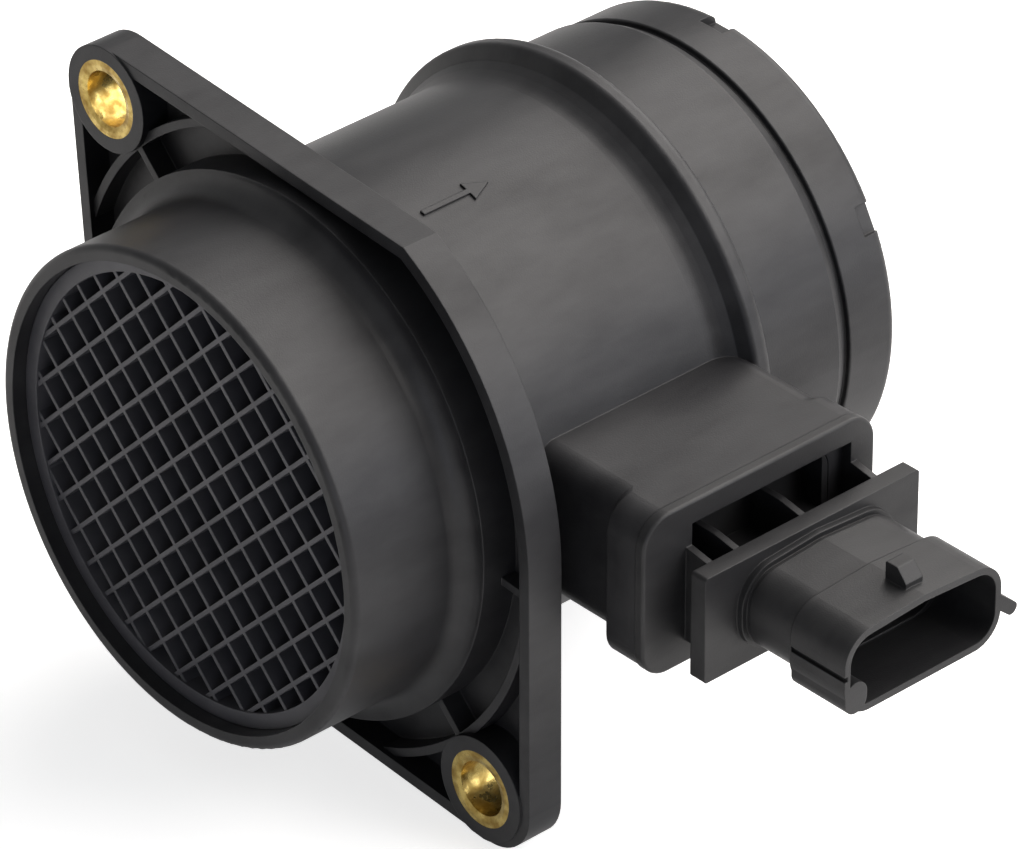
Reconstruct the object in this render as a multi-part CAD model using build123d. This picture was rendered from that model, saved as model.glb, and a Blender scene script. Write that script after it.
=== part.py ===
from build123d import *
import math
import os

# Mass airflow sensor for an engine's intake: a moulded measuring tube with a bolt flange and an inlet
# grille, and a plug-in sensor module whose blade reaches across the duct. Millimetres. Air flows along +Y
# on the tube's axis, the flange's mounting face lies in the plane y = 0, and the module points along +X.

# Measuring tube: walls round the duct and steps in them, and stations along the flow.
DUCT_RADIUS = 35.0
COLLAR_WALL = 5.0
COLLAR_LENGTH = 23.1
COLLAR_RIM_ROUND = 1.1
BASE_RING_STEP = 4.0
BASE_RING_PROUD = 1.8
BASE_RING_FILLET = 3.3
BODY_WALL = 4.5
BODY_ROOT_FILLET = 1.0
SHOULDER_START = 50.4
SHOULDER_RISE = 2.6
SHOULDER_STEP = 1.7
SHOULDER_HEIGHT = 4.0
SHOULDER_LENGTH = 8.2
SHOULDER_CHAMFER = 1.4
SHOULDER_FILLET = 5.0
SHOULDER_FRONT_ROUND = 1.0
SHOULDER_REAR_ROUND = 1.6
SPIGOT_WALL = 4.6
SPIGOT_ROOT_FILLET = 1.0
SPIGOT_GROOVE_START = 76.3
SPIGOT_GROOVE_WIDTH = 0.9
SPIGOT_GROOVE_DEPTH = 1.3
SPIGOT_RAMP_LENGTH = 1.8
SPIGOT_RAMP_DROP = 0.9
REAR_RIM_STEP = 0.4
REAR_RIM_ROUND = 1.7
REAR_END = 87.1
REAR_NOTCH_ANGLES = (29.3, 88.3, 209.3, 268.3)
REAR_NOTCH_WIDTH = 4.8
REAR_NOTCH_DEPTH = 1.7
REAR_NOTCH_LENGTH = 3.5
OUTLET_WIDENING = 1.6
OUTLET_TAPER = 6.0
OUTLET_START = 62.0
GRID_SEAT_STEP = 2.6
GRID_SEAT_DEPTH = 10.0
EDGE_EASE = 0.3

# Bolt flange: a ribbed disc with two lugs on one diagonal.
FLANGE_THICKNESS = 6.4
FLANGE_FLOOR = 1.9
FLANGE_DISC_RADIUS = 51.7
FLANGE_WALL = 2.1
LUG_MARGIN = 9.35
LUG_KINK_ANGLE = 61.0
LUG_CORNER_RADIUS = 8.6
RIB_WIDTH = 1.3
RIB_RECESS = 0.9
ARC_RIB_WIDTH = 1.4
CROSS_RIB_OFFSET = 40.0
BOLT_OFFSET = 41.3
BOSS_RADIUS = 8.7
BOSS_PROUD = 0.3

# Brass compression sleeve in each bolt boss.
SLEEVE_RADIUS = 6.3
SLEEVE_HOLE_RADIUS = 4.5
SLEEVE_MOUTH_WIDTH = 0.9
SLEEVE_MOUTH_DEPTH = 0.25

# Inlet grille: square cells set on the diagonal in a round frame.
GRID_RECESS = 2.5
GRID_FRAME_CLEARANCE = 0.1
GRID_PITCH = 5.32
GRID_BAR = 0.72
GRID_BAR_DEPTH = 5.0
GRID_BAR_SETBACK = 0.4

# Socket block on the tube's side, which takes the module. Measured from the tube's axis.
BLOCK_FRONT = 13.6
BLOCK_REAR = 55.6
BLOCK_TOP = 11.1
BLOCK_BOTTOM = -13.8
BLOCK_ROUND = 4.0
BLOCK_LIP_START = 54.9
BLOCK_FLARE = 1.0
BLOCK_FACE = 62.0
LIP_FRONT_FLARE = 2.2
LIP_BOTTOM_FLARE = 2.5
LIP_ROUND = 5.0
SOCKET_CENTRE = 35.2
SOCKET_LENGTH = 30.0
SOCKET_HEIGHT = 16.0
SOCKET_ROUND = 4.5

# Sensor module: base plate, ribbed neck, outer plate and connector shroud in one moulding.
PLATE_THICKNESS = 1.8
PLATE_EDGE_ROUND = 0.5
PLATE_OVERHANG = 0.15
NECK_FRONT = 19.7
NECK_REAR = 54.2
NECK_BOTTOM = -12.4
NECK_WALL = 1.2
NECK_TOP_SLOPE = 0.7
NECK_RIB_FIRST = 6.0
NECK_RIB_PITCH = 13.2
NECK_RIB_COUNT = 2
OUTER_PLATE_INNER_FACE = 68.1
OUTER_PLATE_THICKNESS = 3.0
OUTER_PLATE_FRONT = 16.7
OUTER_PLATE_REAR = 60.0
OUTER_PLATE_TOP = 3.1
OUTER_PLATE_BOTTOM = -15.2
OUTER_PLATE_ROUND = 0.6
POCKET_CEILING = 7.4
POCKET_FLOOR = -3.4
POCKET_REACH = 4.2
PLUG_CLEARANCE = 0.15
SHROUD_FRONT = 23.0
SHROUD_REAR = 54.8
SHROUD_TOP = 1.6
SHROUD_BOTTOM = -13.3
SHROUD_ARCH = 1.0
SHROUD_ROUND = 5.2
SHROUD_WALL = 1.15
SHROUD_MOUTH = 93.5
SHROUD_FLOOR = 78.5
ROOT_FRONT_STEP = 0.7
ROOT_REAR_STEP = 1.2
ROOT_TOP_STEP = 0.2
ROOT_BOTTOM_STEP = 0.6
ROOT_ROUND = 5.7
ROOT_END = 82.2
ROOT_BEAD_LENGTH = 1.1
ROOT_BEAD_HEIGHT = 0.6
ROOT_GROOVE_LENGTH = 0.8
ROOT_GROOVE_DEPTH = 0.3
KEY_START = 82.4
KEY_STEP = 0.2
KEY_LENGTH = 4.4
KEY_LIFT = 0.5
KEY_HEIGHT = 5.3
KEY_ROUND = 2.2
KEY_GROOVE_TOP = -5.6
KEY_GROOVE_HEIGHT = 0.9
KEY_GROOVE_DEPTH = 0.6
LATCH_START = 86.5
LATCH_LENGTH = 4.2
LATCH_FLAT = 2.4
LATCH_WIDTH = 3.4
LATCH_ASIDE = -1.1
LATCH_HEIGHT = 2.9
LATCH_NOSE_HEIGHT = 0.8
TAB_LENGTH = 5.6
TAB_THICKNESS = 2.2
TAB_DROP = 0.3
TAB_RUN = 14.0
TAB_DROOP = 40.0

# Blade of the module, which crosses the duct.
BLADE_THICKNESS = 9.0
BLADE_CHORD = 27.6
BLADE_TIP = -10.0
BLADE_ROUND = 3.4
BLADE_PLUG_LENGTH = 27.2
COVER_THICKNESS = 1.2
BAY_INNER_END = 12.0
BAY_OUTER_END = 33.0
BAY_FRONT = 29.0
BAY_WALL = 1.2
BAY_FLOOR = -1.3
CHANNEL_WIDTH = 6.0
CHANNEL_START = -5.0
CHANNEL_LENGTH = 22.0
CHANNEL_FLOOR = -3.2
CHANNEL_RETURN = 5.5
WINDOW_START = 17.0
WINDOW_LENGTH = 12.0
WINDOW_FRONT = 2.6
WINDOW_WIDTH = 4.6

# Seal ring round the plug.
SEAL_SECTION = 2.4
SEAL_STATION = 46.0
SEAL_CLEARANCE = 0.05
SEAL_GROOVE_SIDE = 0.1

# Electronics on a sheet-metal carrier whose finger holds the measuring chip in the channel.
CARRIER_THICKNESS = 0.8
CARRIER_MARGIN = 0.5
FINGER_WIDTH = 8.0
FINGER_TIP = 3.6
BOARD_THICKNESS = 0.8
BOARD_MARGIN = 1.0
CONTROL_CHIP = (7.0, 7.0, 1.1)
CAPACITOR = (3.2, 1.6, 1.3)
CAPACITOR_COUNT = 2
CAPACITOR_GAP = 1.0
MEASURING_CHIP = (2.6, 6.0, 0.5)

# Air temperature sensor: a bead held by two leads across its window.
BEAD_RADIUS = 1.15
BEAD_LENGTH = 3.4
LEAD_RADIUS = 0.28
LEAD_ANCHOR = 1.2

# Connector terminals.
TERMINAL_COUNT = 5
TERMINAL_PITCH = 4.0
TERMINAL_WIDTH = 1.5
TERMINAL_THICKNESS = 0.6
TERMINAL_END = 86.3
TERMINAL_TAPER = 1.2
TERMINAL_BEND = 55.0
TERMINAL_LAP = 4.0


def outline(*corners):
    """Closed face from corners (u, v, fillet radius)."""
    points = [(u, v) for u, v, _ in corners]
    return make_face(FilletPolyline(*points, radius=[radius for *_, radius in corners], close=True))


def rounded(u_low, u_high, v_low, v_high, radius):
    """Rectangle between two corners, all four rounded."""
    corners = ((u_low, v_low), (u_high, v_low), (u_high, v_high), (u_low, v_high))
    return outline(*((u, v, radius) for u, v in corners))


def turned(*corners):
    """Solid of revolution about the flow axis from corners (radius, y, fillet radius)."""
    return revolve(outline(*corners), Axis.Y)


def along_flow(face, start, end):
    """Face drawn in (x, z), extruded from y = start to y = end."""
    return extrude(Plane((0, end, 0), x_dir=(1, 0, 0), z_dir=(0, -1, 0)) * face, end - start)


def outward(face, start, end):
    """Face drawn in (y, z), extruded from x = start to x = end."""
    return extrude(Plane((start, 0, 0), x_dir=(0, 1, 0), z_dir=(1, 0, 0)) * face, end - start)


def block(x_low, x_high, y_low, y_high, z_low, z_high):
    """Plain box between two corners."""
    size = (x_high - x_low, y_high - y_low, z_high - z_low)
    return Pos(x_low, y_low, z_low) * Box(*size, align=(Align.MIN, Align.MIN, Align.MIN))


def polar(radius, angle):
    """Point in (x, z) at an angle from +X towards +Z."""
    return radius * math.cos(math.radians(angle)), radius * math.sin(math.radians(angle))


def ring_face(outer, inner):
    """Annulus in (x, z)."""
    return Circle(outer) - Circle(inner)


collar_radius = DUCT_RADIUS + COLLAR_WALL
base_ring_radius = collar_radius + BASE_RING_STEP
body_radius = DUCT_RADIUS + BODY_WALL
spigot_radius = DUCT_RADIUS + SPIGOT_WALL
rear_rim_radius = spigot_radius - REAR_RIM_STEP
outlet_radius = DUCT_RADIUS + OUTLET_WIDENING
grid_seat_radius = DUCT_RADIUS + GRID_SEAT_STEP

# Flange outline: the disc's arc on two sides, and on one diagonal two lugs with round corners. The edges of
# the upper lug leave the disc at the kink angle, and the lower lug's outer edge is tangent to the disc.
disc = FLANGE_DISC_RADIUS
lug_corner = BOLT_OFFSET + LUG_MARGIN
upper_kink = polar(disc, LUG_KINK_ANGLE)
side_kink = polar(disc, 270 - LUG_KINK_ANGLE)
lower_kink = polar(disc, 180 + LUG_KINK_ANGLE)
flange_edges = [
    Line((-lug_corner, lug_corner), upper_kink),
    ThreePointArc(upper_kink, polar(disc, LUG_KINK_ANGLE / 2), (disc, 0)),
    Line((disc, 0), (disc, -lug_corner)),
    Line((disc, -lug_corner), lower_kink),
    ThreePointArc(lower_kink, polar(disc, 225), side_kink),
    Line(side_kink, (-lug_corner, lug_corner)),
]
flange_outline = make_face(flange_edges)
flange_blank = fillet(flange_outline.vertices().sort_by(SortBy.DISTANCE)[-2:], LUG_CORNER_RADIUS)
flange_cavity = offset(flange_blank, -FLANGE_WALL)
floor_start = FLANGE_THICKNESS - FLANGE_FLOOR
bolt_centres = (polar(BOLT_OFFSET * math.sqrt(2), 135), polar(BOLT_OFFSET * math.sqrt(2), 315))

arc_rib_outer = disc - FLANGE_WALL + ARC_RIB_WIDTH
arc_rib = along_flow(ring_face(arc_rib_outer, arc_rib_outer - ARC_RIB_WIDTH), RIB_RECESS, FLANGE_THICKNESS)
rib_reach = arc_rib_outer - ARC_RIB_WIDTH / 2
rib_inner = base_ring_radius - FLANGE_WALL


def radial_rib(reach, angle, recess):
    """Rib from the base ring out to a radius, at an angle, this far below the flange's front face."""
    size = (reach - rib_inner, FLANGE_THICKNESS - recess, RIB_WIDTH)
    rib = Box(*size, align=(Align.MIN, Align.MIN, Align.CENTER))
    return Pos(0, recess, 0) * Rot(0, -angle, 0) * Pos(rib_inner, 0, 0) * rib


flange = along_flow(flange_blank, 0, FLANGE_THICKNESS) - along_flow(flange_cavity, -1, floor_start)
ribs = arc_rib
for lug_angle in (135, 315):
    ribs += radial_rib(BOLT_OFFSET * math.sqrt(2), lug_angle, RIB_RECESS)
    for turn in (-CROSS_RIB_OFFSET, CROSS_RIB_OFFSET):
        ribs += radial_rib(rib_reach, lug_angle + turn, 2 * RIB_RECESS)
flange += ribs & along_flow(flange_blank, 0, FLANGE_THICKNESS)
for centre in bolt_centres:
    boss = along_flow(Pos(*centre) * Circle(BOSS_RADIUS), -BOSS_PROUD, FLANGE_THICKNESS)
    flange += boss & along_flow(flange_blank, -BOSS_PROUD, FLANGE_THICKNESS)

# Tube body of revolution: collar, base ring, body, shoulder bead, hose spigot and rear rim.
shoulder_face = SHOULDER_START + SHOULDER_RISE
shoulder_end = SHOULDER_START + SHOULDER_LENGTH
shoulder_radius = body_radius + SHOULDER_HEIGHT
groove_end = SPIGOT_GROOVE_START + SPIGOT_GROOVE_WIDTH
groove_radius = spigot_radius - SPIGOT_GROOVE_DEPTH
tube = turned(
    (0, -COLLAR_LENGTH, 0),
    (collar_radius, -COLLAR_LENGTH, COLLAR_RIM_ROUND),
    (collar_radius, -BASE_RING_PROUD, BASE_RING_FILLET),
    (base_ring_radius, -BASE_RING_PROUD, 0),
    (base_ring_radius, FLANGE_THICKNESS, 0),
    (body_radius, FLANGE_THICKNESS, BODY_ROOT_FILLET),
    (body_radius, SHOULDER_START, SHOULDER_FILLET),
    (body_radius + SHOULDER_STEP, shoulder_face, EDGE_EASE),
    (shoulder_radius, shoulder_face + SHOULDER_CHAMFER, SHOULDER_FRONT_ROUND),
    (shoulder_radius, shoulder_end - SHOULDER_CHAMFER, SHOULDER_REAR_ROUND),
    (spigot_radius, shoulder_end, SPIGOT_ROOT_FILLET),
    (spigot_radius, SPIGOT_GROOVE_START - SPIGOT_RAMP_LENGTH, EDGE_EASE),
    (spigot_radius - SPIGOT_RAMP_DROP, SPIGOT_GROOVE_START, 0),
    (groove_radius, SPIGOT_GROOVE_START, 0),
    (groove_radius, groove_end, 0),
    (rear_rim_radius, groove_end, EDGE_EASE),
    (rear_rim_radius, REAR_END, REAR_RIM_ROUND),
    (0, REAR_END, 0),
)

# Socket block: a neck from the tube that flares to the lip which the module's base plate sits on.
neck_start = DUCT_RADIUS * 0.9
neck_face = rounded(BLOCK_FRONT, BLOCK_REAR, BLOCK_BOTTOM, BLOCK_TOP, BLOCK_ROUND)
lip_front = BLOCK_FRONT - LIP_FRONT_FLARE
lip_rear = BLOCK_REAR + LIP_FRONT_FLARE
lip_bottom = BLOCK_BOTTOM - LIP_BOTTOM_FLARE
lip_face = rounded(lip_front, lip_rear, lip_bottom, BLOCK_TOP, LIP_ROUND)
outward_plane = Plane((0, 0, 0), x_dir=(0, 1, 0), z_dir=(1, 0, 0))
socket_block = outward(neck_face, neck_start, BLOCK_LIP_START)
flare_end = BLOCK_LIP_START + BLOCK_FLARE
socket_block += loft([outward_plane.offset(BLOCK_LIP_START) * neck_face,
                      outward_plane.offset(flare_end) * lip_face])
socket_block += outward(lip_face, flare_end, BLOCK_FACE)

socket_front = SOCKET_CENTRE - SOCKET_LENGTH / 2
socket_rear = SOCKET_CENTRE + SOCKET_LENGTH / 2
socket_half = SOCKET_HEIGHT / 2
socket_face = rounded(socket_front, socket_rear, -socket_half, socket_half, SOCKET_ROUND)
socket_hole = outward(socket_face, 0, BLOCK_FACE + 1)

outlet_full = OUTLET_START + OUTLET_TAPER * OUTLET_WIDENING
duct = turned(
    (0, -COLLAR_LENGTH - 1, 0),
    (DUCT_RADIUS, -COLLAR_LENGTH - 1, 0),
    (DUCT_RADIUS, OUTLET_START, 0),
    (outlet_radius, outlet_full, 0),
    (outlet_radius, REAR_END + 1, 0),
    (0, REAR_END + 1, 0),
)
grid_seat_end = -COLLAR_LENGTH + GRID_SEAT_DEPTH
grid_seat = along_flow(Circle(grid_seat_radius), -COLLAR_LENGTH - 1, grid_seat_end)

tube_housing = tube + flange + socket_block - duct - grid_seat - socket_hole
for angle in REAR_NOTCH_ANGLES:
    notch = Box(2 * REAR_NOTCH_DEPTH, 2 * REAR_NOTCH_LENGTH, REAR_NOTCH_WIDTH)
    tube_housing -= Pos(0, REAR_END, 0) * Rot(0, -angle, 0) * Pos(rear_rim_radius, 0, 0) * notch

# Brass sleeves, flush with the boss faces and the flange's back, with a shallow cone at each mouth.
mouth_radius = SLEEVE_HOLE_RADIUS + SLEEVE_MOUTH_WIDTH
sleeve = turned(
    (mouth_radius, -BOSS_PROUD, 0),
    (SLEEVE_RADIUS, -BOSS_PROUD, 0),
    (SLEEVE_RADIUS, FLANGE_THICKNESS, 0),
    (mouth_radius, FLANGE_THICKNESS, 0),
    (SLEEVE_HOLE_RADIUS, FLANGE_THICKNESS - SLEEVE_MOUTH_DEPTH, 0),
    (SLEEVE_HOLE_RADIUS, -BOSS_PROUD + SLEEVE_MOUTH_DEPTH, 0),
)
bushings = []
for centre in bolt_centres:
    bushings.append(Pos(centre[0], 0, centre[1]) * sleeve)
    tube_housing -= along_flow(Pos(*centre) * Circle(SLEEVE_RADIUS), -BOSS_PROUD - 1, FLANGE_THICKNESS + 1)

# Inlet grille.
frame_outer = grid_seat_radius - GRID_FRAME_CLEARANCE
frame_inner = DUCT_RADIUS
frame_front = -COLLAR_LENGTH + GRID_RECESS
bars_front = frame_front + GRID_BAR_SETBACK
bar_face = Sketch()
bar_steps = math.floor(frame_inner / GRID_PITCH)
for step in range(-bar_steps, bar_steps + 1):
    bar_face += Pos(0, step * GRID_PITCH) * Rectangle(2 * frame_outer, GRID_BAR)
    bar_face += Pos(step * GRID_PITCH, 0) * Rectangle(GRID_BAR, 2 * frame_outer)
bar_face = (Rot(0, 0, 45) * bar_face) & Circle((frame_outer + frame_inner) / 2)
inlet_grid = along_flow(bar_face, bars_front, bars_front + GRID_BAR_DEPTH)
inlet_grid += along_flow(ring_face(frame_outer, frame_inner), frame_front, grid_seat_end)

# Module: blade and plug.
blade_front = SOCKET_CENTRE - BLADE_CHORD / 2
blade_rear = SOCKET_CENTRE + BLADE_CHORD / 2
blade_half = BLADE_THICKNESS / 2
plug_start = BLOCK_FACE - BLADE_PLUG_LENGTH
plug_face = offset(socket_face, -PLUG_CLEARANCE)
blade_face = rounded(blade_front, blade_rear, -blade_half, blade_half, BLADE_ROUND)
blade = outward(blade_face, BLADE_TIP, plug_start + 1)
plug = outward(plug_face, plug_start, BLOCK_FACE)

cover_plane = blade_half - COVER_THICKNESS
bay_cover_start = BAY_INNER_END - BAY_WALL
bay_cover_box = block(bay_cover_start, BAY_OUTER_END + BAY_WALL, BAY_FRONT - BAY_WALL, blade_rear + 1,
                      cover_plane, blade_half + 1)
channel_end = CHANNEL_START + CHANNEL_WIDTH
channel_rear = blade_front + CHANNEL_LENGTH
return_front = channel_rear - CHANNEL_WIDTH
return_end = channel_end + CHANNEL_RETURN
channel_cover_box = block(BLADE_TIP - 1, bay_cover_start, blade_front - 1, blade_rear + 1, cover_plane,
                          blade_half + 1)
electronics_cover = blade & bay_cover_box
bypass_cover = blade & channel_cover_box

bay = block(BAY_INNER_END, BAY_OUTER_END, BAY_FRONT, blade_rear - BAY_WALL, BAY_FLOOR, cover_plane)
channel = block(CHANNEL_START, channel_end, blade_front - 1, channel_rear, CHANNEL_FLOOR, cover_plane)
channel += block(channel_end - 1, return_end, return_front, channel_rear, CHANNEL_FLOOR, cover_plane)
outlet_slot = block(channel_end, return_end, return_front, channel_rear, -blade_half - 1, CHANNEL_FLOOR + 1)
window_front = blade_front + WINDOW_FRONT
window_rear = window_front + WINDOW_WIDTH
window_end = WINDOW_START + WINDOW_LENGTH
window = block(WINDOW_START, window_end, window_front, window_rear, -blade_half - 1, blade_half + 1)

# Module: base plate, cored neck with its ribs, outer plate and connector shroud.
plate_front = lip_front - PLATE_OVERHANG
plate_rear = lip_rear + PLATE_OVERHANG
plate_end = BLOCK_FACE + PLATE_THICKNESS
plate_face = rounded(plate_front, plate_rear, lip_bottom - PLATE_OVERHANG, BLOCK_TOP + PLATE_OVERHANG,
                     LIP_ROUND + PLATE_OVERHANG)
base_plate = outward(plate_face, BLOCK_FACE, plate_end)
base_plate = fillet(base_plate.faces().sort_by(Axis.X)[-1].edges(), PLATE_EDGE_ROUND)
outer_plate_end = OUTER_PLATE_INNER_FACE + OUTER_PLATE_THICKNESS
outer_plate_face = rounded(OUTER_PLATE_FRONT, OUTER_PLATE_REAR, OUTER_PLATE_BOTTOM, OUTER_PLATE_TOP,
                           OUTER_PLATE_ROUND)
outer_plate = outward(outer_plate_face, OUTER_PLATE_INNER_FACE, outer_plate_end)
neck_top = OUTER_PLATE_TOP + NECK_TOP_SLOPE
neck_profile = outline(
    (plate_end, NECK_BOTTOM, 0),
    (OUTER_PLATE_INNER_FACE, NECK_BOTTOM, 0),
    (OUTER_PLATE_INNER_FACE, OUTER_PLATE_TOP, 0),
    (plate_end, neck_top, 0),
)
neck = along_flow(neck_profile, NECK_FRONT, NECK_REAR)

# The neck is cored from above into cells between ribs. Behind the base plate the cells reach into the plug,
# and one slot above the ribs joins them.
half_wall = NECK_WALL / 2
rib_stations = [NECK_FRONT + NECK_RIB_FIRST + step * NECK_RIB_PITCH for step in range(NECK_RIB_COUNT)]
cell_walls = [NECK_FRONT + half_wall, *rib_stations, NECK_REAR - half_wall]
cell_end = BLOCK_FACE - POCKET_REACH
core_front = socket_front + PLUG_CLEARANCE + NECK_WALL
core_rear = socket_rear - PLUG_CLEARANCE - NECK_WALL
core_ceiling = socket_half - PLUG_CLEARANCE - NECK_WALL
slot_front = NECK_FRONT + NECK_WALL
slot_rear = NECK_REAR - NECK_WALL
cells = block(cell_end, plate_end, core_front, core_rear, neck_top, core_ceiling)
cells += block(BLOCK_FACE, plate_end, slot_front, slot_rear, neck_top, POCKET_CEILING)
for low, high in zip(cell_walls, cell_walls[1:]):
    cell_low = low + half_wall
    cell_high = high - half_wall
    cells += block(BLOCK_FACE, OUTER_PLATE_INNER_FACE, cell_low, cell_high, POCKET_FLOOR, neck_top)
    inner_low = max(cell_low, core_front)
    inner_high = min(cell_high, core_rear)
    cells += block(cell_end, BLOCK_FACE, inner_low, inner_high, POCKET_FLOOR, neck_top)


def arched(front, rear, bottom, top, radius):
    """Shroud's section in (y, z): round corners and a slightly arched top."""
    shoulder = top - SHROUD_ARCH
    return outline((front, bottom, radius), (rear, bottom, radius), (rear, shoulder, radius),
                   ((front + rear) / 2, top, 0), (front, shoulder, radius))


# Connector shroud: a bead and a groove at its root, a narrower root section, then the wider mouth section.
root_face = arched(SHROUD_FRONT + ROOT_FRONT_STEP, SHROUD_REAR - ROOT_REAR_STEP,
                   SHROUD_BOTTOM + ROOT_BOTTOM_STEP, SHROUD_TOP - ROOT_TOP_STEP, ROOT_ROUND)
mouth_face = arched(SHROUD_FRONT, SHROUD_REAR, SHROUD_BOTTOM, SHROUD_TOP, SHROUD_ROUND)
bead_end = outer_plate_end + ROOT_BEAD_LENGTH
groove_stop = bead_end + ROOT_GROOVE_LENGTH
shroud = outer_plate + outward(offset(root_face, ROOT_BEAD_HEIGHT), outer_plate_end, bead_end)
shroud += outward(offset(root_face, -ROOT_GROOVE_DEPTH), bead_end, groove_stop)
shroud += outward(root_face, groove_stop, ROOT_END)
shroud += outward(mouth_face, ROOT_END, SHROUD_MOUTH)
shroud_hollow = outward(offset(mouth_face, -SHROUD_WALL), SHROUD_FLOOR, SHROUD_MOUTH + 1)

# Coding key: a rail along the shroud's lower front corner, with a groove above it outside.
key_front = SHROUD_FRONT + KEY_STEP
key_low = SHROUD_BOTTOM + KEY_LIFT
key_face = rounded(key_front, key_front + KEY_LENGTH, key_low, key_low + KEY_HEIGHT, KEY_ROUND)
key_block = outward(key_face, KEY_START, SHROUD_MOUTH)
key_groove = block(KEY_START, SHROUD_MOUTH + 1, SHROUD_FRONT - 1, SHROUD_FRONT + KEY_GROOVE_DEPTH,
                   KEY_GROOVE_TOP - KEY_GROOVE_HEIGHT, KEY_GROOVE_TOP)

shroud_middle = (SHROUD_FRONT + SHROUD_REAR) / 2
latch_root = SHROUD_TOP - SHROUD_WALL
latch_profile = outline(
    (LATCH_START, latch_root, 0),
    (LATCH_START + LATCH_LENGTH, latch_root, 0),
    (LATCH_START + LATCH_LENGTH, SHROUD_TOP + LATCH_NOSE_HEIGHT, 0),
    (LATCH_START + LATCH_FLAT, SHROUD_TOP + LATCH_HEIGHT, EDGE_EASE),
    (LATCH_START, SHROUD_TOP + LATCH_HEIGHT, EDGE_EASE),
)
latch_front = shroud_middle + LATCH_ASIDE
latch = along_flow(latch_profile, latch_front, latch_front + LATCH_WIDTH)
tab = Box(TAB_RUN, TAB_LENGTH, TAB_THICKNESS, align=(Align.MIN, Align.MIN, Align.CENTER))
tab = fillet(tab.edges().filter_by(Axis.X).sort_by(Axis.Y)[-2:], TAB_THICKNESS * 0.45)
tab_root = (SHROUD_TOP + SHROUD_BOTTOM) / 2 - TAB_DROP
tab = Pos(SHROUD_MOUTH - TAB_RUN, SHROUD_REAR - SHROUD_WALL, tab_root) * Rot(-TAB_DROOP, 0, 0) * tab
shell = shroud + key_block + latch + tab - (shroud_hollow - key_block) - key_groove

module_body = blade + plug - bay - channel - outlet_slot - window - electronics_cover - bypass_cover
module_body += base_plate + neck + shell
module_body -= cells

# Seal groove and ring.
seal_half = SEAL_SECTION / 2
groove_depth = SEAL_SECTION + 2 * SEAL_CLEARANCE - PLUG_CLEARANCE
groove_core = offset(plug_face, -groove_depth)
seal_path_face = outward(plug_face, SEAL_STATION - seal_half - SEAL_GROOVE_SIDE,
                         SEAL_STATION + seal_half + SEAL_GROOVE_SIDE)
module_body -= seal_path_face - outward(groove_core, SEAL_STATION - SEAL_SECTION, SEAL_STATION + SEAL_SECTION)
seal_outline = offset(plug_face, PLUG_CLEARANCE - SEAL_CLEARANCE - seal_half)
seal_wire = (Plane((SEAL_STATION, 0, 0), x_dir=(0, 1, 0), z_dir=(1, 0, 0)) * seal_outline).wires()[0]
seal_profile = Plane(seal_wire @ 0, z_dir=seal_wire % 0) * Circle(seal_half)
module_seal = sweep(seal_profile, seal_wire)

# Carrier, board and parts on it, stacked from the bay's floor.
carrier_top = BAY_FLOOR + CARRIER_THICKNESS
board_top = carrier_top + BOARD_THICKNESS
bay_rear = blade_rear - BAY_WALL
finger_middle = (BAY_FRONT + bay_rear) / 2
finger_front = finger_middle - FINGER_WIDTH / 2
carrier_start = BAY_INNER_END + CARRIER_MARGIN
carrier_plate = block(carrier_start, BAY_OUTER_END - CARRIER_MARGIN, BAY_FRONT + CARRIER_MARGIN,
                      bay_rear - CARRIER_MARGIN, BAY_FLOOR, carrier_top)
finger_end = channel_end - FINGER_TIP
carrier_plate += block(finger_end, carrier_start + 1, finger_front, finger_front + FINGER_WIDTH, BAY_FLOOR,
                       carrier_top)
board_start = BAY_INNER_END + BOARD_MARGIN
board_end = BAY_OUTER_END - BOARD_MARGIN
circuit_board = block(board_start, board_end, BAY_FRONT + BOARD_MARGIN, bay_rear - BOARD_MARGIN, carrier_top,
                      board_top)
board_middle = (board_start + board_end) / 2
standing = (Align.CENTER, Align.CENTER, Align.MIN)
control_chip = Pos(board_middle, finger_middle, board_top) * Box(*CONTROL_CHIP, align=standing)
chip_inner_end = board_middle - CONTROL_CHIP[0] / 2
capacitors = []
for place in range(CAPACITOR_COUNT):
    capacitor_x = chip_inner_end - (place + 1) * (CAPACITOR[1] + CAPACITOR_GAP) + CAPACITOR[1] / 2
    capacitor = Rot(0, 0, 90) * Box(*CAPACITOR, align=standing)
    capacitors.append(Pos(capacitor_x, finger_middle, board_top) * capacitor)
sensor_chip = Pos(finger_end + MEASURING_CHIP[0] / 2 + 0.4, finger_middle, carrier_top) * Box(
    *MEASURING_CHIP, align=standing)

# Terminals: straight blades in the connector that step up to the board.
terminal_low = (SHROUD_TOP + SHROUD_BOTTOM) / 2 - TERMINAL_THICKNESS / 2
terminal_high = board_top
half_width = TERMINAL_WIDTH / 2
strip = outline(
    (board_end - TERMINAL_LAP, terminal_high, 0),
    (TERMINAL_BEND - TERMINAL_THICKNESS, terminal_high, 0),
    (TERMINAL_BEND - TERMINAL_THICKNESS, terminal_low, 0),
    (TERMINAL_END - TERMINAL_TAPER, terminal_low, 0),
    (TERMINAL_END, terminal_low + 0.3 * TERMINAL_THICKNESS, 0),
    (TERMINAL_END, terminal_low + 0.7 * TERMINAL_THICKNESS, 0),
    (TERMINAL_END - TERMINAL_TAPER, terminal_low + TERMINAL_THICKNESS, 0),
    (TERMINAL_BEND, terminal_low + TERMINAL_THICKNESS, 0),
    (TERMINAL_BEND, terminal_high + TERMINAL_THICKNESS, 0),
    (board_end - TERMINAL_LAP, terminal_high + TERMINAL_THICKNESS, 0),
)
terminals = []
for place in range(TERMINAL_COUNT):
    station = shroud_middle + (place - (TERMINAL_COUNT - 1) / 2) * TERMINAL_PITCH
    terminals.append(along_flow(strip, station - half_width, station + half_width))

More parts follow.
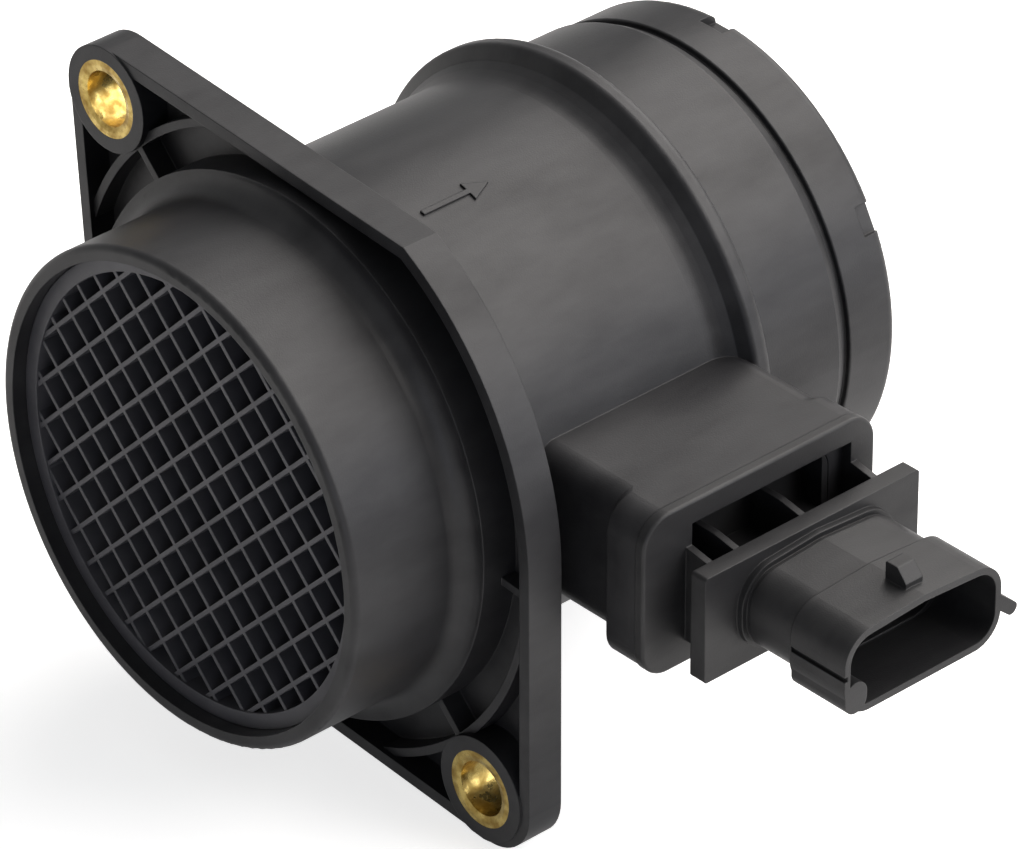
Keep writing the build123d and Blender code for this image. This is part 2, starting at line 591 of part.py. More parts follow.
# Air temperature bead and its leads, across the window.
bead_x = (WINDOW_START + window_end) / 2
bead_y = (window_front + window_rear) / 2
bead_half = BEAD_LENGTH / 2
bead_profile = outline((bead_x - bead_half, 0, 0), (bead_x + bead_half, 0, 0),
                       (bead_x + bead_half, BEAD_RADIUS, BEAD_RADIUS * 0.8),
                       (bead_x - bead_half, BEAD_RADIUS, BEAD_RADIUS * 0.8))
thermistor_bead = Pos(0, bead_y, 0) * revolve(bead_profile, Axis.X)
leads = []
lead_spans = (
    (WINDOW_START - LEAD_ANCHOR, bead_x - bead_half),
    (bead_x + bead_half, window_end + LEAD_ANCHOR),
)
for low, high in lead_spans:
    leads.append(outward(Pos(bead_y, 0) * Circle(LEAD_RADIUS), low, high))

module_housing = module_body - carrier_plate
for piece in (*terminals, *leads):
    module_housing -= piece

nodes = {
    "tube_housing": tube_housing,
    "upper_bushing": bushings[0],
    "lower_bushing": bushings[1],
    "inlet_grid": inlet_grid,
    "module_housing": module_housing,
    "module_seal": module_seal,
    "electronics_cover": electronics_cover,
    "bypass_cover": bypass_cover,
    "carrier_plate": carrier_plate,
    "circuit_board": circuit_board,
    "control_chip": control_chip,
    "sensor_chip": sensor_chip,
    "thermistor_bead": thermistor_bead,
    "thermistor_lead_inner": leads[0],
    "thermistor_lead_outer": leads[1],
}
for number, capacitor in enumerate(capacitors, start=1):
    nodes[f"capacitor_{number}"] = capacitor
for number, terminal in enumerate(terminals, start=1):
    nodes[f"terminal_{number}"] = terminal

os.makedirs("parts", exist_ok=True)
for name, shape in nodes.items():
    export_step(shape, f"parts/{name}.step")
    print(name, len(shape.solids()), round(shape.volume, 1))
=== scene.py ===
"""Looks of a mass airflow sensor: finishes for its moulded, turned and plated pieces, two small pieces that
ride on its body, and a plain studio around it."""

import logging
import math
from dataclasses import dataclass, field
from enum import Enum
from typing import Any

import bpy
import numpy as np
from mathutils import Matrix, Vector

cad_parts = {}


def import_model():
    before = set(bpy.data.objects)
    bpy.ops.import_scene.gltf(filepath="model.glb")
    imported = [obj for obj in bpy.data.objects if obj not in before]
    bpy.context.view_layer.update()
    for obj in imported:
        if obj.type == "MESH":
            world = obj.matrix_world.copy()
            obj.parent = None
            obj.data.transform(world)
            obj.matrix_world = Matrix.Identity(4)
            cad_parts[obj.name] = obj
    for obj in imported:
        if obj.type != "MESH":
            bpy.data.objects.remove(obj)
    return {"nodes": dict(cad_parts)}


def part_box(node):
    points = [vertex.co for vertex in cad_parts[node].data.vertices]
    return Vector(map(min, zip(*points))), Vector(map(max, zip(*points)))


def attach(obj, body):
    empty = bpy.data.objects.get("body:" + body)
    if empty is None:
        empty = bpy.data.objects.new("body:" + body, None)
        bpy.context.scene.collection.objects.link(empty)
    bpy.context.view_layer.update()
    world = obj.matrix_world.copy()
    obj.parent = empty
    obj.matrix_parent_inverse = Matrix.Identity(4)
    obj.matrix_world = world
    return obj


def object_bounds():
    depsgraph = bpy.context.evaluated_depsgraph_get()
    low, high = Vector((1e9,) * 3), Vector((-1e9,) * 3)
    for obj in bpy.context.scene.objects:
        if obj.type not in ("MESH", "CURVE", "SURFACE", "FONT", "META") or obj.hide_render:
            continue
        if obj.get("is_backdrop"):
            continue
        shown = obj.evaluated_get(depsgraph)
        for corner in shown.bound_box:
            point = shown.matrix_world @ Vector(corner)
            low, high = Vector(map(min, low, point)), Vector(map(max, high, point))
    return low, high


LOG = logging.getLogger("airflow_sensor")
MM = 0.001
BODY = "root"
RENDER_WIDTH_PX = 1024
SENSOR_WIDTH_MM = 36.0
WHITE = (1.0, 1.0, 1.0, 1.0)

# Distance at which a wave texture of scale 1 repeats.
WAVE_PERIOD = 2 * math.pi / 20

# A mix node's sockets for colours, by number, because its sockets for other data have the same names.
MIX_SHARE = 0
MIX_FIRST = 6
MIX_SECOND = 7
MIX_RESULT = 2

# A wave texture's socket for its value. The one before it is for its colour.
WAVE_VALUE = 1

# Curve from sRGB to linear light.
SRGB_KNEE = 0.04045
SRGB_SLOPE = 12.92
SRGB_OFFSET = 0.055
SRGB_POWER = 2.4


class Axis(Enum):
    """Axis that a piece's streaks run along, or that its tool marks run round."""

    X = "X"
    Y = "Y"
    Z = "Z"

    def stretched(self, share: float) -> tuple[float, ...]:
        """Scale of a pattern drawn out along this axis: share along it, and 1 across it."""
        return tuple(share if axis is self else 1.0 for axis in Axis)


def linear(hex_colour: str) -> tuple[float, float, float, float]:
    """Turns an sRGB hex colour into linear light.

    Args:
        hex_colour: Six hex digits, with or without a leading #.

    Returns:
        Linear red, green and blue, with an alpha of 1.
    """
    digits = hex_colour.lstrip("#")
    channels = np.array([int(digits[i:i + 2], 16) for i in (0, 2, 4)]) / 255
    curved = ((channels + SRGB_OFFSET) / (1 + SRGB_OFFSET)) ** SRGB_POWER
    light = np.where(channels <= SRGB_KNEE, channels / SRGB_SLOPE, curved)
    return (*(float(value) for value in light), 1.0)


def add_node(tree: bpy.types.NodeTree, kind: str, settings: dict[str, Any] | None = None,
             inputs: dict[str | int, Any] | None = None) -> bpy.types.Node:
    """Adds a shader node with its settings, values and links.

    Args:
        tree: The node tree that gets the node.
        kind: Blender's name of the node's class.
        settings: Attributes of the node to set.
        inputs: Values or output sockets, by the name or index of the input.

    Returns:
        The new node.
    """
    node = tree.nodes.new(kind)
    for name, value in (settings or {}).items():
        setattr(node, name, value)
    for name, value in (inputs or {}).items():
        if isinstance(value, bpy.types.NodeSocket):
            tree.links.new(value, node.inputs[name])
        else:
            node.inputs[name].default_value = value
    return node


def new_material(name: str) -> tuple[bpy.types.Material, bpy.types.NodeTree]:
    """Makes an empty node material.

    Args:
        name: The material's name.

    Returns:
        The material and its cleared node tree.
    """
    material = bpy.data.materials.new(name)
    material.use_nodes = True
    material.node_tree.nodes.clear()
    return material, material.node_tree


@dataclass(frozen=True)
class Finish:
    """A named surface finish. Each kind says what its surface is like."""

    name: str

    def surface(self, tree: bpy.types.NodeTree, place: bpy.types.NodeSocket) -> dict[str, Any]:
        """Adds the finish's patterns.

        Args:
            tree: The material's node tree.
            place: Where a point lies on the object, in metres.

        Returns:
            Values or output sockets, by the name of the surface shader's input.
        """
        raise NotImplementedError

    def build(self) -> bpy.types.Material:
        """Builds the material.

        Returns:
            The material, with the finish's patterns on one surface shader.
        """
        material, tree = new_material(self.name)
        place = add_node(tree, "ShaderNodeTexCoord").outputs["Object"]
        shader = add_node(tree, "ShaderNodeBsdfPrincipled", inputs=self.surface(tree, place))
        add_node(tree, "ShaderNodeOutputMaterial", inputs={"Surface": shader.outputs[0]})
        return material


@dataclass(frozen=True)
class MouldedPlastic(Finish):
    """Glass-filled engineering plastic, injection moulded in a spark-eroded mould.

    The eye sees a charcoal satin skin: a fine even grain that spreads highlights, flow streaks of more and
    less gloss from the fibres, and edges that the mould leaves slightly round.
    """

    dark_hex: str = "#1f1f21"
    light_hex: str = "#2b2b2d"
    roughness: tuple[float, float] = (0.40, 0.52)
    # A grained skin hides part of its gloss in its own pits, so it reflects less than smooth resin.
    specular: tuple[float, float] = (0.22, 0.40)
    ior: float = 1.54
    # Real spark-eroded grain is about 0.05 mm. It is drawn four to five times as coarse, so that it shows.
    grain_mm: float = 0.26
    grain_depth_mm: float = 0.02
    # How much the grain counts beside the streaks in the roughness, and the values that the two then take.
    grain_share: float = 0.35
    mixed_span: tuple[float, float] = (0.4, 0.95)
    flow: Axis = Axis.Y
    streak_mm: float = 9.0
    streak_stretch: float = 0.35
    streak_span: tuple[float, float] = (0.3, 0.7)
    edge_round_mm: float = 0.25

    def surface(self, tree: bpy.types.NodeTree, place: bpy.types.NodeSocket) -> dict[str, Any]:
        """Adds streaks, grain and rounded edges.

        Args:
            tree: The material's node tree.
            place: Where a point lies on the object, in metres.

        Returns:
            Values or output sockets, by the name of the surface shader's input.
        """
        stretch = add_node(tree, "ShaderNodeMapping", inputs={
            "Vector": place, "Scale": self.flow.stretched(self.streak_stretch)})
        streaks = add_node(tree, "ShaderNodeTexNoise", inputs={
            "Vector": stretch.outputs[0], "Scale": 1 / (self.streak_mm * MM), "Detail": 4.0,
            "Roughness": 0.6})
        grain = add_node(tree, "ShaderNodeTexNoise", inputs={
            "Vector": place, "Scale": 1 / (self.grain_mm * MM), "Detail": 2.0, "Roughness": 0.55})
        colour = add_node(tree, "ShaderNodeMix", {"data_type": "RGBA"}, {
            MIX_SHARE: streaks.outputs[0], MIX_FIRST: linear(self.dark_hex),
            MIX_SECOND: linear(self.light_hex)})
        mixed = add_node(tree, "ShaderNodeMath", {"operation": "MULTIPLY_ADD"}, {
            0: grain.outputs[0], 1: self.grain_share, 2: streaks.outputs[0]})
        rough = add_node(tree, "ShaderNodeMapRange", inputs={
            "Value": mixed.outputs[0], "From Min": self.mixed_span[0], "From Max": self.mixed_span[1],
            "To Min": self.roughness[0], "To Max": self.roughness[1]})
        gloss = add_node(tree, "ShaderNodeMapRange", inputs={
            "Value": streaks.outputs[0], "From Min": self.streak_span[0], "From Max": self.streak_span[1],
            "To Min": self.specular[0], "To Max": self.specular[1]})
        edges = add_node(tree, "ShaderNodeBevel", {"samples": 6}, {"Radius": self.edge_round_mm * MM})
        bump = add_node(tree, "ShaderNodeBump", inputs={
            "Height": grain.outputs[0], "Strength": 1.0, "Distance": self.grain_depth_mm * MM,
            "Normal": edges.outputs[0]})
        return {
            "Base Color": colour.outputs[MIX_RESULT],
            "Roughness": rough.outputs[0],
            "IOR": self.ior,
            "Specular IOR Level": gloss.outputs[0],
            "Normal": bump.outputs[0],
        }


@dataclass(frozen=True)
class TurnedBrass(Finish):
    """Free-cutting brass, turned on a lathe.

    The eye sees a pale yellow metal with fine rings round the hole, and duller, slightly dented patches where
    the tool chattered and the sleeve was pressed in.
    """

    centre: tuple[float, float, float]
    axis: Axis = Axis.Y
    bright_hex: str = "#c6af6a"
    dull_hex: str = "#94793c"
    roughness: tuple[float, float] = (0.20, 0.44)
    # Real feed marks are about 0.1 mm apart. They are drawn at 0.3 mm, so that they show.
    ring_mm: float = 0.3
    ring_depth_mm: float = 0.01
    patch_mm: float = 1.8
    patch_span: tuple[float, float] = (0.35, 0.65)
    dent_mm: float = 0.06

    def surface(self, tree: bpy.types.NodeTree, place: bpy.types.NodeSocket) -> dict[str, Any]:
        """Adds rings round the axis, and dull and dented patches.

        Args:
            tree: The material's node tree.
            place: Where a point lies on the object, in metres.

        Returns:
            Values or output sockets, by the name of the surface shader's input.
        """
        centred = add_node(tree, "ShaderNodeMapping", inputs={
            "Vector": place, "Location": tuple(-value for value in self.centre)})
        rings = add_node(tree, "ShaderNodeTexWave", {
            "wave_type": "RINGS", "rings_direction": self.axis.value, "wave_profile": "SAW"}, {
            "Vector": centred.outputs[0], "Scale": WAVE_PERIOD / (self.ring_mm * MM), "Distortion": 0.6,
            "Detail": 2.0, "Detail Scale": 1.5})
        tarnish = add_node(tree, "ShaderNodeTexNoise", inputs={
            "Vector": place, "Scale": 1 / (self.patch_mm * MM), "Detail": 3.0})
        bright = add_node(tree, "ShaderNodeMapRange", inputs={
            "Value": tarnish.outputs[0], "From Min": self.patch_span[0], "From Max": self.patch_span[1]})
        colour = add_node(tree, "ShaderNodeMix", {"data_type": "RGBA"}, {
            MIX_SHARE: bright.outputs[0], MIX_FIRST: linear(self.dull_hex),
            MIX_SECOND: linear(self.bright_hex)})
        rough = add_node(tree, "ShaderNodeMapRange", inputs={
            "Value": bright.outputs[0], "To Min": self.roughness[1], "To Max": self.roughness[0]})
        dents = add_node(tree, "ShaderNodeBump", inputs={
            "Height": tarnish.outputs[0], "Strength": 1.0, "Distance": self.dent_mm * MM})
        bump = add_node(tree, "ShaderNodeBump", inputs={
            "Height": rings.outputs[WAVE_VALUE], "Strength": 0.5, "Distance": self.ring_depth_mm * MM,
            "Normal": dents.outputs[0]})
        return {
            "Base Color": colour.outputs[MIX_RESULT],
            "Metallic": 1.0,
            "Roughness": rough.outputs[0],
            "Normal": bump.outputs[0],
        }


@dataclass(frozen=True)
class PlainMetal(Finish):
    """Rolled, drawn or plated metal, with marks along one direction.

    The eye sees a bright skin with soft streaks along the rolling or drawing direction.
    """

    base_hex: str
    shade_hex: str
    roughness: float
    drawn: Axis = Axis.X
    streak_mm: float = 0.6
    streak_stretch: float = 0.15
    streak_depth_mm: float = 0.004

    def surface(self, tree: bpy.types.NodeTree, place: bpy.types.NodeSocket) -> dict[str, Any]:
        """Adds streaks along the metal.

        Args:
            tree: The material's node tree.
            place: Where a point lies on the object, in metres.

        Returns:
            Values or output sockets, by the name of the surface shader's input.
        """
        stretch = add_node(tree, "ShaderNodeMapping", inputs={
            "Vector": place, "Scale": self.drawn.stretched(self.streak_stretch)})
        streaks = add_node(tree, "ShaderNodeTexNoise", inputs={
            "Vector": stretch.outputs[0], "Scale": 1 / (self.streak_mm * MM), "Detail": 3.0})
        colour = add_node(tree, "ShaderNodeMix", {"data_type": "RGBA"}, {
            MIX_SHARE: streaks.outputs[0], MIX_FIRST: linear(self.shade_hex),
            MIX_SECOND: linear(self.base_hex)})
        bump = add_node(tree, "ShaderNodeBump", inputs={
            "Height": streaks.outputs[0], "Strength": 0.4, "Distance": self.streak_depth_mm * MM})
        return {
            "Base Color": colour.outputs[MIX_RESULT],
            "Metallic": 1.0,
            "Roughness": self.roughness,
            "Normal": bump.outputs[0],
        }


@dataclass(frozen=True)
class DullSolid(Finish):
    """Rubber, fired ceramic, sealing glass or potting resin: a dielectric with a mottled skin.

    The eye sees one colour with a slight mottle, dull or glassy by its roughness.
    """

    base_hex: str
    shade_hex: str
    roughness: float
    ior: float
    mottle_mm: float = 1.2
    mottle_depth_mm: float = 0.01

    def surface(self, tree: bpy.types.NodeTree, place: bpy.types.NodeSocket) -> dict[str, Any]:
        """Adds a mottle.

        Args:
            tree: The material's node tree.
            place: Where a point lies on the object, in metres.

        Returns:
            Values or output sockets, by the name of the surface shader's input.
        """
        mottle = add_node(tree, "ShaderNodeTexNoise", inputs={
            "Vector": place, "Scale": 1 / (self.mottle_mm * MM), "Detail": 5.0})
        colour = add_node(tree, "ShaderNodeMix", {"data_type": "RGBA"}, {
            MIX_SHARE: mottle.outputs[0], MIX_FIRST: linear(self.shade_hex),
            MIX_SECOND: linear(self.base_hex)})
        bump = add_node(tree, "ShaderNodeBump", inputs={
            "Height": mottle.outputs[0], "Strength": 0.3, "Distance": self.mottle_depth_mm * MM})
        return {
            "Base Color": colour.outputs[MIX_RESULT],
            "Roughness": self.roughness,
            "IOR": self.ior,
            "Normal": bump.outputs[0],
        }


def put_on(piece: bpy.types.Object, material: bpy.types.Material) -> None:
    """Gives every material slot of a node the same finish.

    Args:
        piece: The node's object.
        material: Its finish.
    """
    for slot in piece.material_slots:
        slot.material = material
    LOG.info("%s wears %s", piece.name, material.name)


def new_piece(name: str, points: np.ndarray, faces: list[tuple[int, ...]],
              material: bpy.types.Material) -> bpy.types.Object:
    """Makes an object at the origin from points in metres.

    Args:
        name: The piece's name.
        points: Vertices, one row each.
        faces: Vertex numbers of each face, counter-clockwise from outside.
        material: The piece's finish.

    Returns:
        The linked object.
    """
    mesh = bpy.data.meshes.new(name)
    mesh.from_pydata(points.tolist(), [], faces)
    mesh.update()
    mesh.materials.append(material)
    piece = bpy.data.objects.new(name, mesh)
    bpy.context.scene.collection.objects.link(piece)
    return piece


def ride_on_body(piece: bpy.types.Object) -> None:
    """Fixes a new piece to the part's body.

    Args:
        piece: The new piece.
    """
    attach(piece, BODY)
    LOG.info("%s: %d faces", piece.name, len(piece.data.polygons))


def ring_faces(rings: int, around: int, joined: bool) -> list[tuple[int, ...]]:
    """Faces of a closed skin over rings of points.

    Args:
        rings: How many rings the skin has.
        around: How many points each ring has.
        joined: Whether the last ring joins the first one. Otherwise each of the two gets a cap.

    Returns:
        Quads between neighbouring rings, then any caps.
    """
    step = np.arange(around)
    ahead = (step + 1) % around
    row = np.arange(rings if joined else rings - 1)[:, None] * around
    next_row = (row + around) % (rings * around)
    quads = np.stack([row + step, row + ahead, next_row + ahead, next_row + step], axis=-1)
    faces = [tuple(quad) for quad in quads.reshape(-1, 4).tolist()]
    if joined:
        return faces
    return faces + [tuple(range(around - 1, -1, -1)), tuple(range((rings - 1) * around, rings * around))]


@dataclass
class FlowArrow:
    """Raised arrow on the tube that shows which way the air flows."""

    tube_radius_mm: float = 39.5
    tail_mm: float = 16.2
    length_mm: float = 13.0
    head_mm: float = 4.0
    shaft_half_mm: float = 0.45
    head_half_mm: float = 1.8
    tip_half_mm: float = 0.02
    angle_deg: float = 74.0
    proud_mm: float = 0.3
    sunk_mm: float = 0.1

    def build(self, material: bpy.types.Material) -> bpy.types.Object:
        """Builds the arrow.

        Each ring is a rectangle across the arrow, as wide as the arrow is at its station along the flow and
        from just under the tube's skin to just above it. A point t mm across lies at the angle t / radius.

        Args:
            material: The tube's finish.

        Returns:
            The arrow's object.
        """
        tip = self.tail_mm + self.length_mm
        barb = tip - self.head_mm
        stations = np.array([self.tail_mm, barb, barb, tip])
        halves = np.array([self.shaft_half_mm, self.shaft_half_mm, self.head_half_mm, self.tip_half_mm])
        sides = np.array([-1, -1, 0, 1, 1, 0])
        above = np.array([False, True, True, True, False, False])
        across = halves[:, None] * sides
        radius = self.tube_radius_mm + np.where(above, self.proud_mm, -self.sunk_mm)
        angle = math.radians(self.angle_deg) - across / self.tube_radius_mm
        along = np.broadcast_to(stations[:, None], across.shape)
        points = np.stack([radius * np.cos(angle), along, radius * np.sin(angle)], axis=-1).reshape(-1, 3)
        return new_piece("flow_arrow", points * MM, ring_faces(*across.shape, joined=False), material)


@dataclass
class MeasuringTube:
    """The tube, its flange and socket block, the inlet grille and the two brass sleeves."""

    tube_finish: MouldedPlastic = MouldedPlastic("glass_filled_polyester_tube")
    # Painted light: the grille is the tube's own plastic, coloured lighter so that its recessed bars look
    # lit, standing in for their highlights.
    grille_painted_light_finish: MouldedPlastic = MouldedPlastic(
        "glass_filled_polyester_grille_painted_light", dark_hex="#414145", light_hex="#505055", roughness=(0.36, 0.46),
        grain_mm=0.18)
    arrow: FlowArrow = field(default_factory=FlowArrow)

    def dress(self, nodes: dict[str, bpy.types.Object]) -> None:
        """Gives the tube's nodes their finishes and adds the flow arrow.

        Args:
            nodes: The frame's objects by name.
        """
        tube_material = self.tube_finish.build()
        put_on(nodes["tube_housing"], tube_material)
        put_on(nodes["inlet_grid"], self.grille_painted_light_finish.build())
        for name in ("upper_bushing", "lower_bushing"):
            low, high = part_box(name)
            put_on(nodes[name], TurnedBrass(f"turned_brass_{name}", centre=tuple((low + high) / 2)).build())
        ride_on_body(self.arrow.build(tube_material))


@dataclass
class ShroudRootWall:
    """Wall at the root of the connector shroud, just under the skin of its narrower section."""

    start_mm: float = 78.2
    end_mm: float = 82.5
    inset_mm: float = 0.02
    thickness_mm: float = 0.85
    front_mm: float = 23.7
    rear_mm: float = 53.6
    bottom_mm: float = -12.7
    top_mm: float = 1.4
    arch_mm: float = 1.0
    corner_mm: float = 5.7
    corner_steps: int = 12

    def section(self, inset: float) -> np.ndarray:
        """Outline of the shroud's root, moved inwards.

        Four quarter circles of radius corner - inset stand at the corners of a rectangle, and the top rises
        from its corners to the middle as two straight slopes.

        Args:
            inset: How far the outline lies inside the shroud's skin, in mm.

        Returns:
            Points (y, z) in mm, counter-clockwise seen from +X.
        """
        front = self.front_mm + self.corner_mm
        rear = self.rear_mm - self.corner_mm
        low = self.bottom_mm + self.corner_mm
        high = self.top_mm - self.arch_mm - self.corner_mm
        middles = np.array([(rear, low), (rear, high), (front, high), (front, low)])
        quarter = np.linspace(0, math.pi / 2, self.corner_steps + 1)
        angle = np.array([-1, 0, 1, 2])[:, None] * math.pi / 2 + quarter
        radius = self.corner_mm - inset
        y = middles[:, :1] + radius * np.cos(angle)
        z = middles[:, 1:] + radius * np.sin(angle)
        half = (self.rear_mm - self.front_mm) / 2
        rise = self.arch_mm * np.clip(1 - np.abs(y - self.front_mm - half) / half, 0, 1)
        return np.stack([y, z + rise * (np.sin(angle) > 0)], axis=-1).reshape(-1, 2)

    def build(self, material: bpy.types.Material) -> bpy.types.Object:
        """Builds the wall.

        Four rings run round the section: outside at the start and the end, then inside at the end and the
        start, and the last ring joins the first.

        Args:
            material: The module's finish.

        Returns:
            The wall's object.
        """
        outer = self.section(self.inset_mm)
        inner = self.section(self.inset_mm + self.thickness_mm)
        rings = np.array([outer, outer, inner, inner])
        stations = np.array([self.start_mm, self.end_mm, self.end_mm, self.start_mm])
        along = np.broadcast_to(stations[:, None, None], (*rings.shape[:2], 1))
        points = np.concatenate([along, rings], axis=-1).reshape(-1, 3)
        return new_piece("shroud_root_wall", points * MM, ring_faces(*rings.shape[:2], joined=True), material)


@dataclass
class SensorModule:
    """The plug-in module, its covers, seal, electronics and terminals."""

    body_finish: MouldedPlastic = MouldedPlastic(
        "glass_filled_polyester_module", dark_hex="#1d1d1f", light_hex="#282829")
    cover_finish: MouldedPlastic = MouldedPlastic(
        "glass_filled_polyester_cover", dark_hex="#232324", light_hex="#2d2d2f")
    seal_finish: DullSolid = DullSolid("silicone_rubber", "#191a1a", "#131414", roughness=0.7, ior=1.41)
    carrier_finish: PlainMetal = PlainMetal("rolled_stainless_sheet", "#c6c5c1", "#aaa9a5", roughness=0.32)
    board_finish: DullSolid = DullSolid("alumina_ceramic", "#dedcd2", "#cfccc0", roughness=0.45, ior=1.76)
    chip_finish: DullSolid = DullSolid(
        "epoxy_moulding_compound", "#1d1d1f", "#161618", roughness=0.35, ior=1.55)
    capacitor_finish: DullSolid = DullSolid(
        "fired_barium_titanate", "#8b6d4f", "#775a40", roughness=0.5, ior=1.7, mottle_mm=0.4)
    bead_finish: DullSolid = DullSolid("sealing_glass", "#5a2219", "#471910", roughness=0.12, ior=1.52)
    tinned_finish: PlainMetal = PlainMetal("tin_plated_bronze", "#d6d4ce", "#b9b6ae", roughness=0.28)
    root_wall: ShroudRootWall = field(default_factory=ShroudRootWall)
    terminal_count: int = 5

    def dress(self, nodes: dict[str, bpy.types.Object]) -> None:
        """Gives the module's nodes their finishes and adds the wall at the shroud's root.

        Args:
            nodes: The frame's objects by name.
        """
        body_material = self.body_finish.build()
        put_on(nodes["module_housing"], body_material)
        terminals = tuple(f"terminal_{number}" for number in range(1, self.terminal_count + 1))
        wearers = (
            (self.cover_finish, ("electronics_cover", "bypass_cover")),
            (self.seal_finish, ("module_seal",)),
            (self.carrier_finish, ("carrier_plate",)),
            (self.board_finish, ("circuit_board",)),
            (self.chip_finish, ("control_chip", "sensor_chip")),
            (self.capacitor_finish, ("capacitor_1", "capacitor_2")),
            (self.bead_finish, ("thermistor_bead",)),
            (self.tinned_finish, ("thermistor_lead_inner", "thermistor_lead_outer", *terminals)),
        )
        for finish, names in wearers:
            material = finish.build()
            for name in names:
                put_on(nodes[name], material)
        ride_on_body(self.root_wall.build(body_material))


@dataclass(frozen=True)
class Softbox:
    """Rectangular soft lamp: its middle, width and height in metres, its watts and its light's tint."""

    name: str
    place: tuple[float, float, float]
    size: tuple[float, float]
    watts: float
    tint_hex: str

    def build(self) -> None:
        """Adds the lamp, pointed at the object."""
        lamp = bpy.data.lights.new(self.name, "AREA")
        lamp.shape = "RECTANGLE"
        lamp.size, lamp.size_y = self.size
        lamp.energy = self.watts
        lamp.color = linear(self.tint_hex)[:3]
        holder = bpy.data.objects.new(self.name, lamp)
        holder.location = self.place
        holder.rotation_euler = Vector(self.place).to_track_quat("Z", "Y").to_euler()
        bpy.context.scene.collection.objects.link(holder)


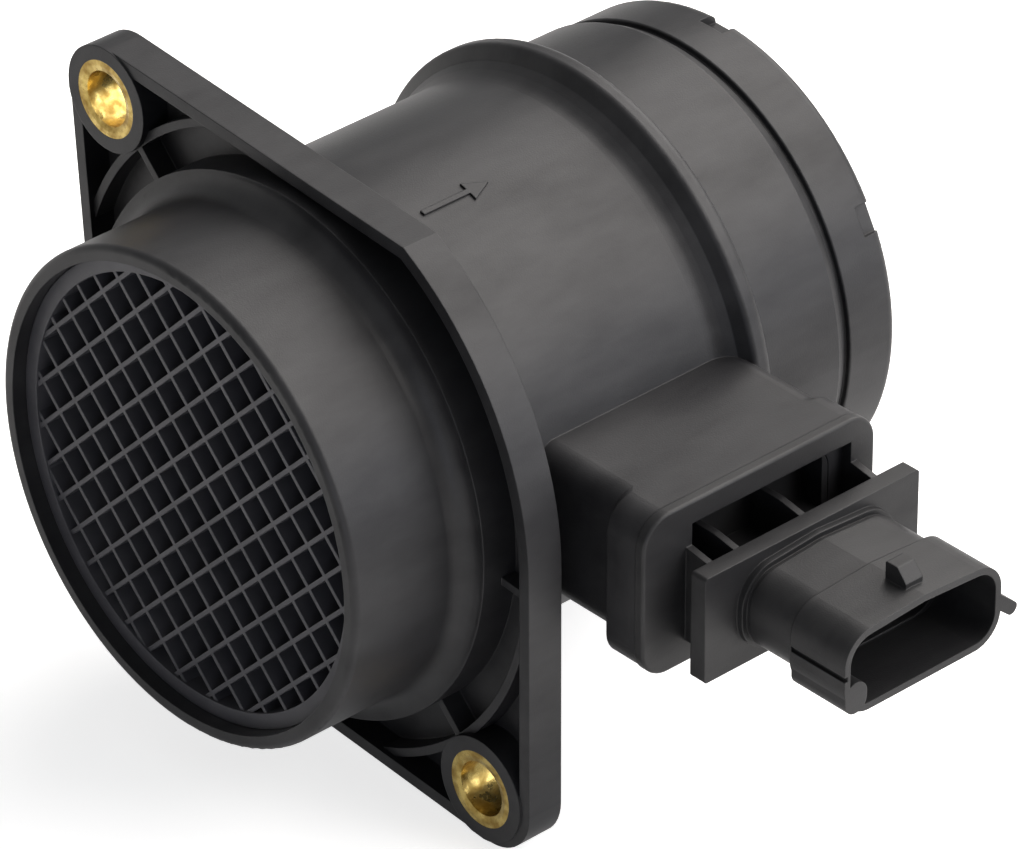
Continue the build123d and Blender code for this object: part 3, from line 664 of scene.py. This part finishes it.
@dataclass
class Studio:
    """Camera, lamps, floor and world."""

    azimuth_deg: float = 47.71
    elevation_deg: float = 32.82
    roll_deg: float = -0.12
    distance_mm: float = 1150.5
    aside_mm: float = 32.39
    up_mm: float = 2.70
    focal_px: float = 7749.1
    nearest_m: float = 0.05
    farthest_m: float = 20.0
    floor_hex: str = "#f7f7f7"
    floor_glow: float = 0.8
    floor_reach_m: float = 6.0
    glossy_share: float = 0.42
    world_level: float = 0.14
    softboxes: tuple[Softbox, ...] = (
        Softbox("rear_softbox", place=(0.28, 0.80, 0.86), size=(2.4, 1.0), watts=34.0, tint_hex="#fffaf6"),
        Softbox("side_softbox", place=(1.35, 0.85, 0.35), size=(0.8, 0.8), watts=5.0, tint_hex="#f2f5ff"),
        Softbox("low_fill", place=(1.0, -1.0, 0.15), size=(0.8, 0.35), watts=1.4, tint_hex="#dce6ff"),
    )

    def view_axes(self) -> tuple[Vector, Vector, Vector]:
        """Works out how the camera is turned.

        Returns:
            Its right, up and backward directions.
        """
        azimuth = math.radians(self.azimuth_deg)
        elevation = math.radians(self.elevation_deg)
        back = Vector((math.sin(azimuth) * math.cos(elevation), -math.cos(azimuth) * math.cos(elevation),
                       math.sin(elevation)))
        right = Vector((math.cos(azimuth), math.sin(azimuth), 0.0))
        right.rotate(Matrix.Rotation(math.radians(self.roll_deg), 3, back))
        return right, back.cross(right), back

    def add_camera(self) -> None:
        """Adds the camera."""
        right, up, back = self.view_axes()
        camera = bpy.data.cameras.new("camera")
        camera.sensor_width = SENSOR_WIDTH_MM
        camera.lens = self.focal_px / RENDER_WIDTH_PX * SENSOR_WIDTH_MM
        camera.clip_start = self.nearest_m
        camera.clip_end = self.farthest_m
        holder = bpy.data.objects.new("camera", camera)
        place = (back * self.distance_mm + right * self.aside_mm + up * self.up_mm) * MM
        turn = Matrix((right, up, back)).transposed().to_4x4()
        holder.matrix_world = Matrix.Translation(place) @ turn
        bpy.context.scene.collection.objects.link(holder)
        bpy.context.scene.camera = holder

    def add_seen_share(self, tree: bpy.types.NodeTree) -> bpy.types.NodeSocket:
        """Adds the share of the background's white that a ray sees.

        Args:
            tree: The node tree of the floor or the world.

        Returns:
            A socket that is 1 for the camera and clear pieces, less for reflections and 0 for other rays.
        """
        rays = add_node(tree, "ShaderNodeLightPath")
        direct = add_node(tree, "ShaderNodeMath", {"operation": "MAXIMUM"}, {
            0: rays.outputs["Is Camera Ray"], 1: rays.outputs["Is Transmission Ray"]})
        mirrored = add_node(tree, "ShaderNodeMath", {"operation": "MULTIPLY"}, {
            0: rays.outputs["Is Glossy Ray"], 1: self.glossy_share})
        seen = add_node(tree, "ShaderNodeMath", {"operation": "MAXIMUM"}, {
            0: direct.outputs[0], 1: mirrored.outputs[0]})
        return seen.outputs[0]

    def add_floor(self, height: float) -> None:
        """Adds the floor, white to the camera and with the object's shadow.

        Args:
            height: The floor's height, in metres.
        """
        material, tree = new_material("paper_sweep")
        white = linear(self.floor_hex)
        paper = add_node(tree, "ShaderNodeBsdfDiffuse", inputs={"Color": white})
        glow = add_node(tree, "ShaderNodeEmission", inputs={"Color": white, "Strength": self.floor_glow})
        both = add_node(tree, "ShaderNodeAddShader", inputs={0: paper.outputs[0], 1: glow.outputs[0]})
        shader = add_node(tree, "ShaderNodeMixShader", inputs={
            0: self.add_seen_share(tree), 1: paper.outputs[0], 2: both.outputs[0]})
        add_node(tree, "ShaderNodeOutputMaterial", inputs={"Surface": shader.outputs[0]})
        corners = np.array([(-1, -1, 0), (1, -1, 0), (1, 1, 0), (-1, 1, 0)]) * self.floor_reach_m
        new_piece("floor", corners + (0, 0, height), [(0, 1, 2, 3)], material)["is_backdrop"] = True

    def add_world(self) -> None:
        """Adds a white surround for the camera and reflections, and a plain level of light elsewhere."""
        world = bpy.data.worlds.new("surround")
        world.use_nodes = True
        tree = world.node_tree
        tree.nodes.clear()
        level = add_node(tree, "ShaderNodeMapRange", inputs={
            "Value": self.add_seen_share(tree), "To Min": self.world_level, "To Max": 1.0})
        light = add_node(tree, "ShaderNodeBackground", inputs={"Color": WHITE, "Strength": level.outputs[0]})
        add_node(tree, "ShaderNodeOutputWorld", inputs={"Surface": light.outputs[0]})
        bpy.context.scene.world = world

    def build(self, floor_height: float) -> None:
        """Sets up the whole studio.

        Args:
            floor_height: The floor's height, in metres.
        """
        self.add_camera()
        for softbox in self.softboxes:
            softbox.build()
        self.add_floor(floor_height)
        self.add_world()
        bpy.context.scene.view_settings.view_transform = "Standard"


def main() -> None:
    """Builds the looks around the frame."""
    logging.basicConfig(level=logging.INFO)
    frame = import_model()
    cad_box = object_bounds()
    MeasuringTube().dress(frame["nodes"])
    SensorModule().dress(frame["nodes"])
    Studio().build(cad_box[0][2])


if __name__ == "__main__":
    main()
